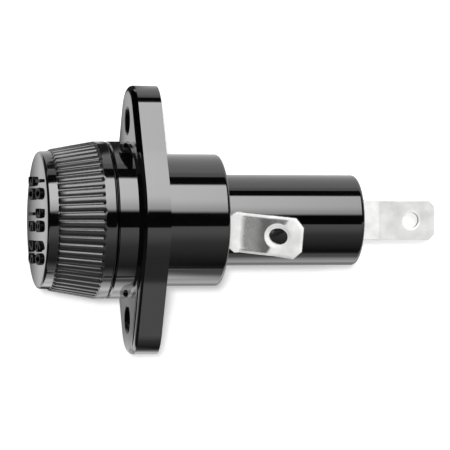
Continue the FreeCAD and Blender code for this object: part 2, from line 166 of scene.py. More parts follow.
def window(tree, value, start, full, end, gone):
    """Rises softly from start to full, and falls from end to gone."""
    sides = []
    for low, high in ((start, full), (gone, end)):
        values = {"Value": value, "From Min": low, "From Max": high}
        side = add_node(tree, "ShaderNodeMapRange", {"interpolation_type": "SMOOTHSTEP"}, values)
        sides.append(side.outputs[0])
    return math_node(tree, "MINIMUM", *sides)


def panel(radiance, turn_window, lean_window):
    """One panel of light, from its windows in degrees of turn and in lean."""
    shape = math_node(
        sky, "MULTIPLY", window(sky, turn, *turn_window), window(sky, lean, *lean_window)
    )
    return math_node(sky, "MULTIPLY", shape, radiance)


print("a direction has its turn in degrees and its lean from -1 to 1")

# %% [markdown]
# ## The panels of light
#
# Each row is one panel: its radiance, its window in degrees of turn and its window in lean. The
# soft box is two rows, because its middle is brighter than its edge. The camera itself sees a
# plain white room, so that the paper's edge never shows.

# %% Hang the panels
whole_lean = (-0.6, -0.4, 1.1, 1.2)
box_lean = (-0.42, -0.24, 0.12, 0.52)
panels = {
    "soft box": panel(2.16, (10.3, 17, 61.5, 65.6), box_lean),
    "soft box middle": panel(1.64, (10.3, 38, 61.5, 65.6), box_lean),
    "left card": panel(1.2, (-52, -42, -24, -14), (-0.82, -0.76, -0.68, -0.6)),
    "wall": panel(0.224, (-100, -20, -11.5, -10.5), whole_lean),
    "wall near the camera": panel(0.24, (-42, -16, -11.5, -10.5), whole_lean),
    "far table edge": panel(0.48, (79.8, 81.4, 100, 110), whole_lean),
    "near table edge": panel(0.24, (-125, -110, -97, -86), (0.18, 0.2, 1.1, 1.2)),
    "near table edge at the cap": panel(0.44, (-140, -130, -90, -70), (-0.6, -0.4, 0.18, 0.2)),
}
room = 0.0032
for light in panels.values():
    room = math_node(sky, "ADD", light, room)
rays = add_node(sky, "ShaderNodeLightPath")
choice = {0: rays.outputs["Is Camera Ray"], 2: room, 3: 1.0}
level = add_node(sky, "ShaderNodeMix", {"data_type": "FLOAT"}, choice)
background = add_node(
    sky, "ShaderNodeBackground", inputs={"Color": (1, 1, 1, 1), "Strength": level.outputs[0]}
)
add_node(sky, "ShaderNodeOutputWorld", inputs={"Surface": background.outputs[0]})
print("panels of light:", ", ".join(panels))

# %% [markdown]
# ## A lamp for the shadow
#
# The world gives the reflections, but its light is so wide that the holder would throw a faint
# shadow over half the table. The photograph has only a thin soft rim of shadow below and to the
# right of each edge. A lamp close to the camera throws such a rim, so we add one nearly along the
# view. It stays out of reflections, because it would break the dark bands of the room.

# %% Hang the lamp
lamp_strength = 1.9
lamp_softness = math.radians(5)
shadow_shift = Vector((-0.04, 0.075, 0))

lamp_data = bpy.data.lights.new("shadow_lamp", "SUN")
lamp_data.energy = lamp_strength
lamp_data.angle = lamp_softness
lamp = bpy.data.objects.new("shadow_lamp", lamp_data)
lamp_direction = (camera_place.normalized() + shadow_shift).normalized()
lamp.matrix_world = lamp_direction.to_track_quat("Z", "Y").to_matrix().to_4x4()
lamp.visible_glossy = False
bpy.context.scene.collection.objects.link(lamp)
print("lamp direction:", [round(part, 2) for part in lamp_direction])

# %% [markdown]
# ## The table
#
# The table is a large white sheet just under the holder. To the camera it is clean paper with a
# faint shadow. A plane with four corners is enough, since all that happens on it happens in its
# material.

# %% Lay the table
table_reach = 4.0
table_drop = 0.02 * MM

table_height = cad_box[0].z - table_drop
table_mesh = bpy.data.meshes.new("table")
table_corners = ((-1, -1), (1, -1), (1, 1), (-1, 1))
points = [(x * table_reach, y * table_reach, table_height) for x, y in table_corners]
table_mesh.from_pydata(points, [], [(0, 1, 2, 3)])
table = bpy.data.objects.new("table", table_mesh)
bpy.context.scene.collection.objects.link(table)
print("table:", round(table_height / MM, 2), "mm along Z")

# %% [markdown]
# ## Light on the table
#
# Reflections show how such a table is really lit: brightest close in front of the holder and left
# of the cap, weaker behind it, and dark where the holder shades it. More lamps could light it so,
# but each would throw a shadow of its own. Instead the table glows in pools that only reflections
# see. They are soft windows too, in metres over the table.

# %% Pools of light on the table
paper = bpy.data.materials.new("table_paper")
paper.use_nodes = True
sheet = paper.node_tree
sheet.nodes.clear()
spot = axes_of(sheet, own_place(sheet))
along, across = spot["X"], spot["Y"]


def pool(radiance, along_window, across_window):
    """A soft pool of light on the table, from its windows along X and across Y in metres."""
    along_it = window(sheet, along, *along_window)
    across_it = window(sheet, across, *across_window)
    shape = math_node(sheet, "MULTIPLY", along_it, across_it)
    return math_node(sheet, "MULTIPLY", shape, radiance)


to_the_right = (-0.008, -0.004, 4.9, 5)
left_part = (-0.022, -0.018, -0.008, -0.004)
beside_ears = (-0.014, -0.01, -0.007, -0.005)
under_the_boss = (-0.022, -0.012, -0.002, 0.022)
under_the_barrel = (-0.022, -0.012, 0.045, 0.062)
close_in_front = (-0.065, -0.028, -0.024, -0.017)
pools = {
    "in front": pool(0.3, to_the_right, (-0.5, -0.05, 0.001, 0.006)),
    "bright in front": pool(0.65, to_the_right, close_in_front),
    "in front of the cap": pool(0.6, left_part, close_in_front),
    "in front of the rim": pool(0.8, (-0.024, -0.02, -0.0145, -0.0115), close_in_front),
    "brightest in front": pool(1.1, under_the_boss, (-0.13, -0.075, -0.042, -0.03)),
    "far in front": pool(0.55, under_the_barrel, (-1, -0.9, -0.26, -0.14)),
    "behind": pool(0.6, (-0.003, 0.003, 4.9, 5), (0.004, 0.012, 4.9, 5)),
    "behind the rim": pool(0.6, (-0.022, -0.018, -0.0145, -0.012), (0.01, 0.016, 4.9, 5)),
    "left of the upper ear": pool(0.55, beside_ears, (-0.006, 0.002, 0.02, 0.022)),
    "left of the lower ear": pool(0.25, beside_ears, (-0.024, -0.022, -0.006, 0.002)),
    "left of the cap": pool(0.66, (-0.042, -0.026, -0.022, -0.018), (-0.03, -0.02, 0.02, 0.03)),
}
mirrored = 0.03
for light in pools.values():
    mirrored = math_node(sheet, "ADD", light, mirrored)
print("pools of light on the table:", ", ".join(pools))

# %% [markdown]
# ## The paper
#
# What the camera sees of the table is part paint, which takes the shadow, and part glow, which
# lifts it to white. A ray that comes from a reflection gets the pools instead. The light path
# node tells the two kinds of ray apart.

# %% Paint the table
table_paint = 0.8
camera_glow = 0.45

seen = add_node(sheet, "ShaderNodeLightPath")
paint = add_node(sheet, "ShaderNodeBsdfDiffuse", inputs={"Color": (table_paint,) * 3 + (1,)})
seen_directly = math_node(sheet, "MULTIPLY", seen.outputs["Is Camera Ray"], camera_glow)
glow = add_node(sheet, "ShaderNodeEmission", inputs={"Strength": seen_directly})
paper_shader = add_node(
    sheet, "ShaderNodeAddShader", inputs={0: paint.outputs[0], 1: glow.outputs[0]}
)
pool_glow = add_node(sheet, "ShaderNodeEmission", inputs={"Strength": mirrored})
reflection_ray = math_node(
    sheet, "MAXIMUM", seen.outputs["Is Glossy Ray"], seen.outputs["Is Transmission Ray"]
)
table_shader = add_node(
    sheet,
    "ShaderNodeMixShader",
    inputs={0: reflection_ray, 1: paper_shader.outputs[0], 2: pool_glow.outputs[0]},
)
add_node(sheet, "ShaderNodeOutputMaterial", inputs={"Surface": table_shader.outputs[0]})
table_mesh.materials.append(paper)
print("table finish:", paper.name)

# %% [markdown]
# ## A black flag
#
# Beside the upper ear the collar should mirror a black patch with a round edge. In a studio a
# small black card, called a flag, makes such a patch. Ours is a polygon that the camera doesn't
# see. It shows in reflections only, so it darkens that one patch and throws no shadow.

# %% Hang the flag
flag_x = -4.9
# Its corners as (y, z) in mm.
flag_corners = (
    (10.5, 6.8),
    (18, 2.9),
    (20.8, 0.8),
    (20.8, 4.2),
    (19.8, 6.8),
    (17.2, 9.4),
    (14, 10.8),
    (10.5, 11.2),
)

flag_mesh = bpy.data.meshes.new("black_flag")
flag_points = [Vector((flag_x, y, z)) * MM for y, z in flag_corners]
flag_mesh.from_pydata(flag_points, [], [tuple(range(len(flag_points)))])
flag = bpy.data.objects.new("black_flag", flag_mesh)
bpy.context.scene.collection.objects.link(flag)
black_card = bpy.data.materials.new("black_card")
black_card.use_nodes = True
card_tree = black_card.node_tree
card_tree.nodes.clear()
card_paint = add_node(card_tree, "ShaderNodeBsdfDiffuse", inputs={"Color": (0, 0, 0, 1)})
add_node(card_tree, "ShaderNodeOutputMaterial", inputs={"Surface": card_paint.outputs[0]})
flag_mesh.materials.append(black_card)
for ray_kind in ("camera", "diffuse", "transmission", "volume_scatter", "shadow"):
    setattr(flag, f"visible_{ray_kind}", False)
print("flag corners:", len(flag_points))

# %% [markdown]
# ## Helpers for the finishes
#
# All finishes start from Blender's main shader. A noise, read at the piece's own place, varies
# over each surface, and a span turns it into a roughness. Image textures could do the same, but
# they would need files.


# %% Finish helpers
def new_finish(name):
    """A material with its tree and its main shader."""
    material = bpy.data.materials.new(name)
    material.use_nodes = True
    return material, material.node_tree, material.node_tree.nodes["Principled BSDF"]


def noise(tree, place, scale, detail=3.0, stretch=(1, 1, 1)):
    """A noise value over the piece's own coordinates, in features per metre."""
    mapped = add_node(tree, "ShaderNodeMapping", inputs={"Vector": place, "Scale": stretch})
    values = {"Vector": mapped.outputs[0], "Scale": scale, "Detail": detail}
    return add_node(tree, "ShaderNodeTexNoise", inputs=values).outputs[0]


def span(tree, value, low, high, from_low=0.3, from_high=0.7):
    """Maps a value onto the span from low to high."""
    names = ("Value", "From Min", "From Max", "To Min", "To Max")
    values = dict(zip(names, (value, from_low, from_high, low, high)))
    return add_node(tree, "ShaderNodeMapRange", inputs=values).outputs[0]


# %% [markdown]
# ## Black phenolic
#
# The housing and the cap are pressed from phenolic resin in polished moulds. The surface is close
# to a mirror, with a faint waviness and a few rubbed patches. A high index and a clear coat give
# the strong reflection that the cap's face shows at a grazing angle. A zone along X makes the
# grip matter than the rest.


# %% Black phenolic finish
phenolic_index = 1.7
coat_roughness = 0.03
dark_shade = (0.0008, 0.0008, 0.0009, 1)
pale_shade = (0.0025, 0.0025, 0.0027, 1)


def phenolic(name, roughness=(0.05, 0.1), wave=0.004, matt_zone=None, matt=0.24):
    """Glossy black moulding, slightly wavy and rubbed, with a matter zone along X."""
    material, tree, shader = new_finish(name)
    place = own_place(tree)
    shade = add_node(tree, "ShaderNodeValToRGB", inputs={0: noise(tree, place, 350)})
    shade.color_ramp.elements[0].color = dark_shade
    shade.color_ramp.elements[1].color = pale_shade
    tree.links.new(shade.outputs[0], shader.inputs["Base Color"])
    rubbed = noise(tree, place, 220, detail=6, stretch=(0.35, 1, 1))
    gloss = span(tree, rubbed, *roughness)
    if matt_zone:
        zone = window(tree, axes_of(tree, place)["X"], *matt_zone)
        zone = math_node(tree, "MULTIPLY", zone, matt)
        gloss = math_node(tree, "ADD", gloss, zone)
        coat_gloss = math_node(tree, "ADD", zone, coat_roughness)
        tree.links.new(coat_gloss, shader.inputs["Coat Roughness"])
    tree.links.new(gloss, shader.inputs["Roughness"])
    shader.inputs["IOR"].default_value = phenolic_index
    shader.inputs["Coat IOR"].default_value = phenolic_index
    shader.inputs["Coat Weight"].default_value = 1.0
    shader.inputs["Coat Roughness"].default_value = coat_roughness
    waving = noise(tree, place, 160, detail=2)
    waves = {"Height": waving, "Distance": wave * MM, "Strength": 1.0}
    bump = add_node(tree, "ShaderNodeBump", inputs=waves)
    tree.links.new(bump.outputs[0], shader.inputs["Normal"])
    tree.links.new(bump.outputs[0], shader.inputs["Coat Normal"])
    return material


grip_edges = (-17.05, -9.95)
grip_fade = (-0.1, 0.1)
grip_zone = [(edge + fade) * MM for edge in grip_edges for fade in grip_fade]
housing_finish = phenolic("housing_phenolic")
cap_finish = phenolic("cap_phenolic", (0.06, 0.13), matt_zone=grip_zone)
print("black finishes:", housing_finish.name, cap_finish.name)

# %% [markdown]
# ## The flange's flanks and the corner at the collar
#
# A gloss surface shows the smallest change of slope. On the real housing the ears' flanks curve a
# little, and the corner between collar and flange is rounded, which the solids leave out. The
# solids stay as they are, so a bump tilts the shading instead. Its height is a ramp across Y on
# the flanks and along X over the corner. Tests on a face's direction keep it off other faces.

# %% Shade the flanks and the corner
flange_middle = -2.25
flange_half = 2.25
ear_start = 9.5
ear_tilts = {"upper": 0.22, "lower": -0.38}
ear_top = {"upper": 1.9, "lower": 10.0}
ear_softness = 0.4
corner_start, corner_end = -4.95, -3.65
corner_slope = 0.75
flank_lean, corner_lean = 0.2, 0.8


def within(tree, value, limit):
    """1 where the value lies within the limit on both sides of zero, and 0 elsewhere."""
    return math_node(tree, "LESS_THAN", math_node(tree, "ABSOLUTE", value), limit)


skin = housing_finish.node_tree
housing_spot = axes_of(skin, own_place(skin))
face_normal = add_node(skin, "ShaderNodeNewGeometry").outputs["True Normal"]
face_x = axes_of(skin, face_normal)["X"]
from_middle = math_node(skin, "SUBTRACT", housing_spot["X"], flange_middle * MM)

relief = 0.0
for ear, tilt in ear_tilts.items():
    ramp_start = -abs(tilt) * ear_start * MM
    ramp = math_node(skin, "MULTIPLY_ADD", housing_spot["Y"], tilt, ramp_start)
    ramp = math_node(skin, "MINIMUM", ramp, ear_top[ear] * MM)
    relief = math_node(skin, "SMOOTH_MAX", ramp, relief, ear_softness * MM)
for value, limit in ((from_middle, flange_half * MM), (face_x, flank_lean)):
    relief = math_node(skin, "MULTIPLY", relief, within(skin, value, limit))
corner = math_node(skin, "MAXIMUM", housing_spot["X"], corner_start * MM)
corner = math_node(skin, "MINIMUM", corner, corner_end * MM)
corner = math_node(skin, "MULTIPLY", corner, within(skin, face_x, corner_lean))
relief = math_node(skin, "MULTIPLY_ADD", corner, corner_slope, relief)
tilts = {"Height": relief, "Distance": 1.0, "Strength": 1.0}
relief_bump = add_node(skin, "ShaderNodeBump", inputs=tilts)
skin.links.new(relief_bump.outputs[0], skin.nodes["Bump"].inputs["Normal"])
print("tilted shading from", corner_start, "to", corner_end, "mm along X, and beyond", ear_start)

# %% [markdown]
# ## Plated and bare metal
#
# The inner parts are bare drawn brass, nickel, spring wire and a silvered strip. They are all one
# metal shader with a different colour, a different roughness and a grain that is stretched along
# the direction in which the part was drawn.


# %% Metal finish
def metal(name, colour, roughness, grain=(0.3, 1, 1), grain_scale=1500, depth=0.001, dull=0.88):
    """A metal with drawing marks along X and a slightly cloudy plate."""
    material, tree, shader = new_finish(name)
    place = own_place(tree)
    cloud = noise(tree, place, 500, detail=4)
    shade = add_node(tree, "ShaderNodeValToRGB", inputs={0: cloud})
    shade.color_ramp.elements[0].position = 0.3
    shade.color_ramp.elements[0].color = tuple(dull * part for part in colour) + (1,)
    shade.color_ramp.elements[1].position = 0.7
    shade.color_ramp.elements[1].color = tuple(colour) + (1,)
    tree.links.new(shade.outputs[0], shader.inputs["Base Color"])
    lines = noise(tree, place, grain_scale, detail=5, stretch=grain)
    tree.links.new(span(tree, lines, *roughness), shader.inputs["Roughness"])
    shader.inputs["Metallic"].default_value = 1.0
    bump = add_node(
        tree, "ShaderNodeBump", inputs={"Height": lines, "Distance": depth * MM, "Strength": 1.0}
    )
    tree.links.new(bump.outputs[0], shader.inputs["Normal"])
    return material


brass = metal("drawn_brass", (0.78, 0.57, 0.26), (0.2, 0.32))
nickel = metal("nickel_plate", (0.8, 0.78, 0.74), (0.16, 0.28))
spring_wire_finish = metal("spring_wire", (0.62, 0.62, 0.64), (0.22, 0.35))
silver = metal("silvered_strip", (0.86, 0.85, 0.82), (0.2, 0.3))
print("metals:", brass.name, nickel.name, silver.name)

# %% [markdown]
# ## Tin plate that is rubbed in places, with painted shade
#
# Matt tin plate scatters light almost like white paint, and where it is rubbed it turns into a
# smoother mirror, which looks darker. Its colour is darkened there too, and that is painted shade;
# the tabs' undersides get the same painted shade. One material does all this: each point of a tab
# carries a number for its polish and painted shade, and the shader reads it. Two materials would
# be simpler, but the change is gradual.

# %% Tin finish
matt_metallic, rubbed_metallic = 0.1, 0.75
painted_shade_colour, rubbed_most = 0.34, 1.5
rubbed_smoothness = -0.2

tin = metal("tin_plate", (0.95, 0.95, 0.94), (0.4, 0.5), depth=0.0004, dull=0.8)
tin_tree = tin.node_tree
tin_shader = tin_tree.nodes["Principled BSDF"]
polish_and_shade = add_node(tin_tree, "ShaderNodeAttribute", {"attribute_name": "polish_and_shade"}).outputs["Fac"]
metallic = span(tin_tree, polish_and_shade, matt_metallic, rubbed_metallic, 0.0, 1.0)
# Where the plate is rubbed, and on the undersides, its colour is darkened: this is painted shade.
painted_shade = span(tin_tree, polish_and_shade, 1.0, painted_shade_colour, 0.0, rubbed_most)
smoother = math_node(tin_tree, "MULTIPLY", polish_and_shade, rubbed_smoothness)
plate_colour = tin_shader.inputs["Base Color"].links[0].from_socket
plate_roughness = tin_shader.inputs["Roughness"].links[0].from_socket
scaled = {0: plate_colour, "Scale": painted_shade}
shaded_tin_colour = add_node(tin_tree, "ShaderNodeVectorMath", {"operation": "SCALE"}, scaled)
tin_tree.links.new(metallic, tin_shader.inputs["Metallic"])
tin_tree.links.new(shaded_tin_colour.outputs[0], tin_shader.inputs["Base Color"])
tin_roughness = math_node(tin_tree, "ADD", plate_roughness, smoother)
tin_tree.links.new(tin_roughness, tin_shader.inputs["Roughness"])
print("tin plate: metallic from", matt_metallic, "to", rubbed_metallic)

# %% [markdown]
# ## Glazed ceramic
#
# The fuse's tube is white ceramic under a thin glaze. It only shows when the fuse is pulled out.
# One even colour would look like plastic, so a soft noise clouds it, and a thin clear coat stands
# for the glaze.

# %% Ceramic finish
ceramic, ceramic_tree, ceramic_shader = new_finish("glazed_ceramic")
ceramic_cloud = noise(ceramic_tree, own_place(ceramic_tree), 300)
ceramic_shade = add_node(ceramic_tree, "ShaderNodeValToRGB", inputs={0: ceramic_cloud})
ceramic_shade.color_ramp.elements[0].color = (0.70, 0.68, 0.63, 1)
ceramic_shade.color_ramp.elements[1].color = (0.80, 0.79, 0.75, 1)
ceramic_tree.links.new(ceramic_shade.outputs[0], ceramic_shader.inputs["Base Color"])
ceramic_shader.inputs["Roughness"].default_value = 0.25
ceramic_shader.inputs["Coat Weight"].default_value = 0.6
ceramic_shader.inputs["Coat Roughness"].default_value = 0.08
print("ceramic:", ceramic.name)

# %% [markdown]
# ## Dressing the solids
#
# Most solids already have the right shape, so each only needs its finish and smooth shading. The
# shading is split where two faces meet at more than 30 degrees, which keeps moulded edges crisp.

# %% Give each solid its finish
finish_of = {
    "housing": housing_finish,
    "cap": cap_finish,
    "front_shell": brass,
    "cap_contact_sleeve": brass,
    "rear_contact_cup": brass,
    "contact_disc": brass,
    "side_terminal": tin,
    "end_terminal": tin,
    "side_terminal_rivet": brass,
    "rear_contact_rivet": brass,
    "cap_spring": spring_wire_finish,
    "fuse_front_ferrule": nickel,
    "fuse_rear_ferrule": nickel,
    "fuse_tube": ceramic,
    "fuse_element": silver,
}


def smooth_shade(piece, angle=30):
    """Smooth shading, split at edges that are sharper than the angle."""
    mesh = piece.data
    mesh.shade_smooth()
    mesh.set_sharp_from_angle(angle=math.radians(angle))


for node, finish in finish_of.items():
    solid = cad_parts[node]
    solid.data.materials.clear()
    solid.data.materials.append(finish)
    smooth_shade(solid)
print("dressed solids:", len(finish_of))

# %% [markdown]
# ## The screw cap
#
# Fifty-eight grooves run along a slight cone, and the mould leaves no sharp corner between them:
# the ribs are rounded, start with a small rounded step behind the front rim, and each groove ends
# in a round scoop before the smooth band. We could repeat one rib with an array modifier, but the
# cap is one moulding. So we turn one closed profile in many small steps, and let a formula press
# the grooves in.

# %% Sizes of the cap
cap_low, cap_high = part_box("cap")
cap_front = cap_low.x / MM
cap_rear = cap_high.x / MM
cap_radius = cap_high.y / MM
face_radius = cap_radius - 1.6
face_round = 0.45
rim_radius = face_radius + 0.05
knurl_front = cap_front + 1.65
knurl_rear = cap_rear - 1.85
rib_front_radius = rim_radius + 0.26
rib_step_length = 0.3
band_edge = 0.38

rib_count = 58
groove_depth = 0.27
groove_floor_half = 0.1
groove_top_half = 0.26
rib_round = 1.1
rib_round_half = 0.42
steps_per_rib = 18
cap_sharp_angle = 62
scoop_centre = knurl_rear - 0.45
scoop_margin = 0.25
crown_edge = rib_round - math.sqrt(rib_round**2 - rib_round_half**2)

seat_lip = 0.08
lip_radius = cap_radius - 0.6
skirt_radius = cap_radius - 2.2
pocket_radius = skirt_radius - 1.7
pocket_round = 0.3
pocket_front = cap_front + 2.6
hub_radius = 8.04
hub_bore = 6.14
bead_radius = hub_bore + 0.35
bead_front, bead_rear = -10.3, -9.4
bore_front = cap_front + 2.2
small_edge = 0.05
crisp_gap = 0.02
round_rows, step_rows, grip_rows, scoop_rows = 8, 6, 6, 12
print("cap:", round(cap_rear - cap_front, 2), "mm long,", round(2 * cap_radius, 2), "mm across")

# %% [markdown]
# ## A turned mesh
#
# A lathe makes a round part from one outline, and so does this helper. It turns a closed outline
# about the fuse axis and asks a function at every point how far the surface sinks there. The
# screw modifier could turn the outline too, but then nothing could press grooves into it.


# %% A closed turned mesh
def smooth_step(value):
    """Runs from 0 to 1 with a level start and a level end."""
    value = min(max(value, 0.0), 1.0)
    return value * value * (3 - 2 * value)


def link_piece(name, mesh, finish, body=None):
    """Puts a new mesh in the scene in its finish. Where a body is named, the piece rides on it."""
    piece = bpy.data.objects.new(name, mesh)
    bpy.context.scene.collection.objects.link(piece)
    mesh.materials.append(finish)
    if body:
        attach(piece, body)
    return piece


def turned_mesh(name, rows, columns, drop_at):
    """Turns (x, radius) rows in mm about the X axis. The first and last rows lie on the axis."""
    points = [(rows[0][0] * MM, 0, 0)]
    for x, radius in rows[1:-1]:
        for column in range(columns):
            angle = 2 * math.pi * column / columns
            reach = radius - drop_at(x, radius, angle)
            points.append((x * MM, reach * math.sin(angle) * MM, reach * math.cos(angle) * MM))
    points.append((rows[-1][0] * MM, 0, 0))
    last = len(points) - 1
    faces = []
    for row in range(len(rows) - 1):
        for column in range(columns):
            following = (column + 1) % columns
            near, far = 1 + (row - 1) * columns, 1 + row * columns
            if row == 0:
                faces.append((0, far + following, far + column))
            elif row == len(rows) - 2:
                faces.append((near + column, near + following, last))
            else:
                faces.append((near + column, near + following, far + following, far + column))
    mesh = bpy.data.meshes.new(name)
    mesh.from_pydata(points, [], faces)
    mesh.validate()
    mesh.shade_smooth()
    return mesh


# %% [markdown]
# ## The grooves
#
# Each groove has a flat floor and soft walls, and each rib between two grooves has a round crown.
# Cutting 58 grooves with booleans would leave sharp corners to bevel. A formula has none: it only
# needs the distance from a point to the middle of its groove. At the groove's end that distance
# is measured to a single point, which closes the groove in a scoop.


# %% Press the grooves into the cap
def groove_drop(x, radius, angle):
    """How far the surface lies below the turned profile at this place, in mm."""
    if not knurl_front < x < cap_rear - band_edge:
        return 0.0
    pitch = 2 * math.pi * radius / rib_count
    across = (angle * rib_count / (2 * math.pi)) % 1.0
    across = min(across, 1 - across) * pitch
    distance = math.hypot(across, max(0.0, x - scoop_centre))
    from_rib = min(max(pitch / 2 - distance, 0.0), rib_round_half)
    crown = rib_round - math.sqrt(rib_round**2 - from_rib**2)
    wall = (distance - groove_floor_half) / (groove_top_half - groove_floor_half)
    start = smooth_step((x - knurl_front) / rib_step_length)
    return start * (crown + (groove_depth - crown_edge) * (1 - smooth_step(wall)))


print("grooves:", rib_count, "of them,", groove_depth, "mm deep")

# %% [markdown]
# ## The cap's profile
#
# The profile runs from the middle of the face over its rounded edge, the small step, the ribbed
# cone and the smooth band to the rear. Then it goes back inside through the skirt, the hub and
# the bore, because the inside shows when the cap comes off. Its rows of points lie close together
# where it bends, and far apart where it runs straight.


# %% Turn the cap
def spread(start, end, count):
    """Evenly spaced values after start, up to end."""
    return [start + (end - start) * i / count for i in range(1, count + 1)]


cone_slope = (cap_radius - rib_front_radius) / (knurl_rear - knurl_front)


def rib_top(x):
    """The radius of the cone that the ribs' tops lie on."""
    return rib_front_radius + cone_slope * (x - knurl_front)


cap_rows = [(cap_front, 0), (cap_front, face_radius / 2), (cap_front, face_radius - face_round)]
for degrees in spread(0, 90, round_rows):
    angle = math.radians(degrees)
    x = cap_front + face_round * (1 - math.cos(angle))
    cap_rows.append((x, face_radius - face_round * (1 - math.sin(angle))))
cap_rows.append((knurl_front - small_edge, rim_radius))
for x in spread(knurl_front - crisp_gap, knurl_front + rib_step_length, step_rows):
    rise = smooth_step((x - knurl_front) / rib_step_length)
    cap_rows.append((x, rim_radius + rise * (rib_top(x) - rim_radius)))
for x in spread(knurl_front + rib_step_length, scoop_centre, grip_rows):
    cap_rows.append((x, min(cap_radius, rib_top(x))))
for x in spread(scoop_centre, knurl_rear + scoop_margin, scoop_rows):
    cap_rows.append((x, min(cap_radius, rib_top(x))))
cap_rows.append((cap_rear - band_edge - crisp_gap, cap_radius))
for ahead, inward in ((1, 0), (0.6, 0.08), (0.3, 0.3), (0.08, 0.6), (0, 1)):
    cap_rows.append((cap_rear - ahead * band_edge, cap_radius - inward * band_edge))
cap_rows += [
    (cap_rear, lip_radius),
    (cap_rear + seat_lip, lip_radius - small_edge),
    (cap_rear + seat_lip, skirt_radius + small_edge),
    (cap_rear, skirt_radius),
    (pocket_front + pocket_round, pocket_radius + pocket_round),
    (pocket_front, pocket_radius),
    (pocket_front, hub_radius),
    (cap_rear - small_edge, hub_radius),
    (cap_rear, hub_radius - small_edge),
    (cap_rear, hub_bore + small_edge),
    (cap_rear - small_edge, hub_bore),
    (bead_rear, hub_bore),
    (bead_rear - small_edge, bead_radius),
    (bead_front + small_edge, bead_radius),
    (bead_front, hub_bore),
    (bore_front, hub_bore),
    (bore_front, 0),
]
cap_mesh = turned_mesh("ribbed_cap", cap_rows, rib_count * steps_per_rib, groove_drop)
cap_mesh.set_sharp_from_angle(angle=math.radians(cap_sharp_angle))
ribbed_cap = link_piece("ribbed_cap", cap_mesh, cap_finish, "screw_cap")
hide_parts("cap")
print("ribbed cap:", len(cap_mesh.polygons), "faces")

# %% [markdown]
# ## Numbers on the cap
#
# Two lines of plain raised numbers stand on the cap's face. Text objects are the quick way to
# their forms, but they have to become meshes to be part of the cap. A round bevel makes their
# tops soft, as on a moulding, and a matt finish makes them a soft grey.

# %% Raise the numbers
number_size = 6.8
number_squeeze = 0.58
number_height = 0.45
number_edge = 0.15
number_weight = -0.06
number_lines = {"10 38 60": 1.0, "30 15 25": -6.0}

number_finish = phenolic("matt_phenolic", (0.45, 0.55))
number_shader = number_finish.node_tree.nodes["Principled BSDF"]
number_shader.inputs["Coat Weight"].default_value = 0.0
number_shader.inputs["IOR"].default_value = 1.25


def raised_numbers(name, words, base):
    """A line of numbers on the cap's face, read from +Y to -Y, standing on z = base in mm."""
    text = bpy.data.curves.new(name, "FONT")
    text.body = words
    text.align_x = "CENTER"
    text.size = number_size * MM
    text.offset = number_weight * MM
    text.extrude = (number_height - number_edge) * MM
    text.bevel_depth = number_edge * MM
    text.bevel_resolution = 3
    text.resolution_u = 6
    source = bpy.data.objects.new(name, text)
    mesh = bpy.data.meshes.new_from_object(source)
    bpy.data.objects.remove(source)
    face_axes = Matrix(((0, 0, -1), (-number_squeeze, 0, 0), (0, 1, 0))).to_4x4()
    mesh.transform(Matrix.Translation(Vector((cap_front, 0, base)) * MM) @ face_axes)
    mesh.materials.clear()
    mesh.name = name
    return mesh


for row, (words, base) in enumerate(number_lines.items(), start=1):
    name = f"cap_numbers_{row}"
    numbers_mesh = raised_numbers(name, words, base)
    numbers = link_piece(name, numbers_mesh, number_finish, "screw_cap")
    smooth_shade(numbers, 40)
    print("numbers:", words, len(numbers_mesh.polygons), "faces")

# %% [markdown]
# ## The spring
#
# Behind the cap sits a compression spring that presses the fuse to the rear. A real one is a
# helix whose end coils lie flat against what they press on. When the cap is screwed out a real
# spring grows longer, but here it is one fixed mesh that rides on no body.
#
# A curve object with a round bevel is Blender's own way to sweep a wire. It turns its section as
# the path bends, though, and the ridge of a thread has to keep its foot on the sleeve. So one
# helper for both places every ring of points itself and joins ring to ring.

# %% Sizes of the spring
spring_low, spring_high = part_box("cap_spring")
wire_radius = 0.45
spring_turns = 3.5
steps_per_turn = 40
wire_sides = 14
coil_flattening = 0.25
coil_radius = spring_high.y / MM - wire_radius
coil_front = spring_low.x / MM + wire_radius
coil_rear = spring_high.x / MM - wire_radius
print("spring from", round(coil_front, 2), "to", round(coil_rear, 2), "mm along X")


# %% Sweep a section
def swept_mesh(name, runs, section):
    """A closed tube for each run of (x, radius, angle, size) centres. The section has
    (outward, along) offsets in mm."""
    points, faces = [], []
    sides = len(section)
    for centres in runs:
        first = len(points)
        for x, radius, angle, size in centres:
            for outward, along in section:
                reach = radius + size * outward
                place = (x + size * along, reach * math.sin(angle), reach * math.cos(angle))
                points.append(Vector(place) * MM)
        for ring in range(len(centres) - 1):
            for side in range(sides):
                a = first + ring * sides + side
                b = first + ring * sides + (side + 1) % sides
                faces.append((a, b, b + sides, a + sides))
        faces.append(tuple(range(first, first + sides)))
        faces.append(tuple(reversed(range(len(points) - sides, len(points)))))
    mesh = bpy.data.meshes.new(name)
    mesh.from_pydata(points, [], faces)
    mesh.validate()
    mesh.shade_smooth()
    return mesh


# %% Wind the spring
wire_angles = [2 * math.pi * i / wire_sides for i in range(wire_sides)]
wire_section = [(wire_radius * math.cos(a), wire_radius * math.sin(a)) for a in wire_angles]
coil_steps = int(spring_turns * steps_per_turn)
coil = []
for step in range(coil_steps + 1):
    share = step / coil_steps
    climb = (1 - coil_flattening) * share + coil_flattening * smooth_step(share)
    x = coil_front + (coil_rear - coil_front) * climb
    coil.append((x, coil_radius, 2 * math.pi * spring_turns * share, 1))
spring_mesh = swept_mesh("wound_spring", [coil], wire_section)
wound_spring = link_piece("wound_spring", spring_mesh, spring_wire_finish)
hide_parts("cap_spring")
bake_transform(wound_spring)
print("spring:", spring_turns, "turns,", round(2 * coil_radius, 2), "mm across")

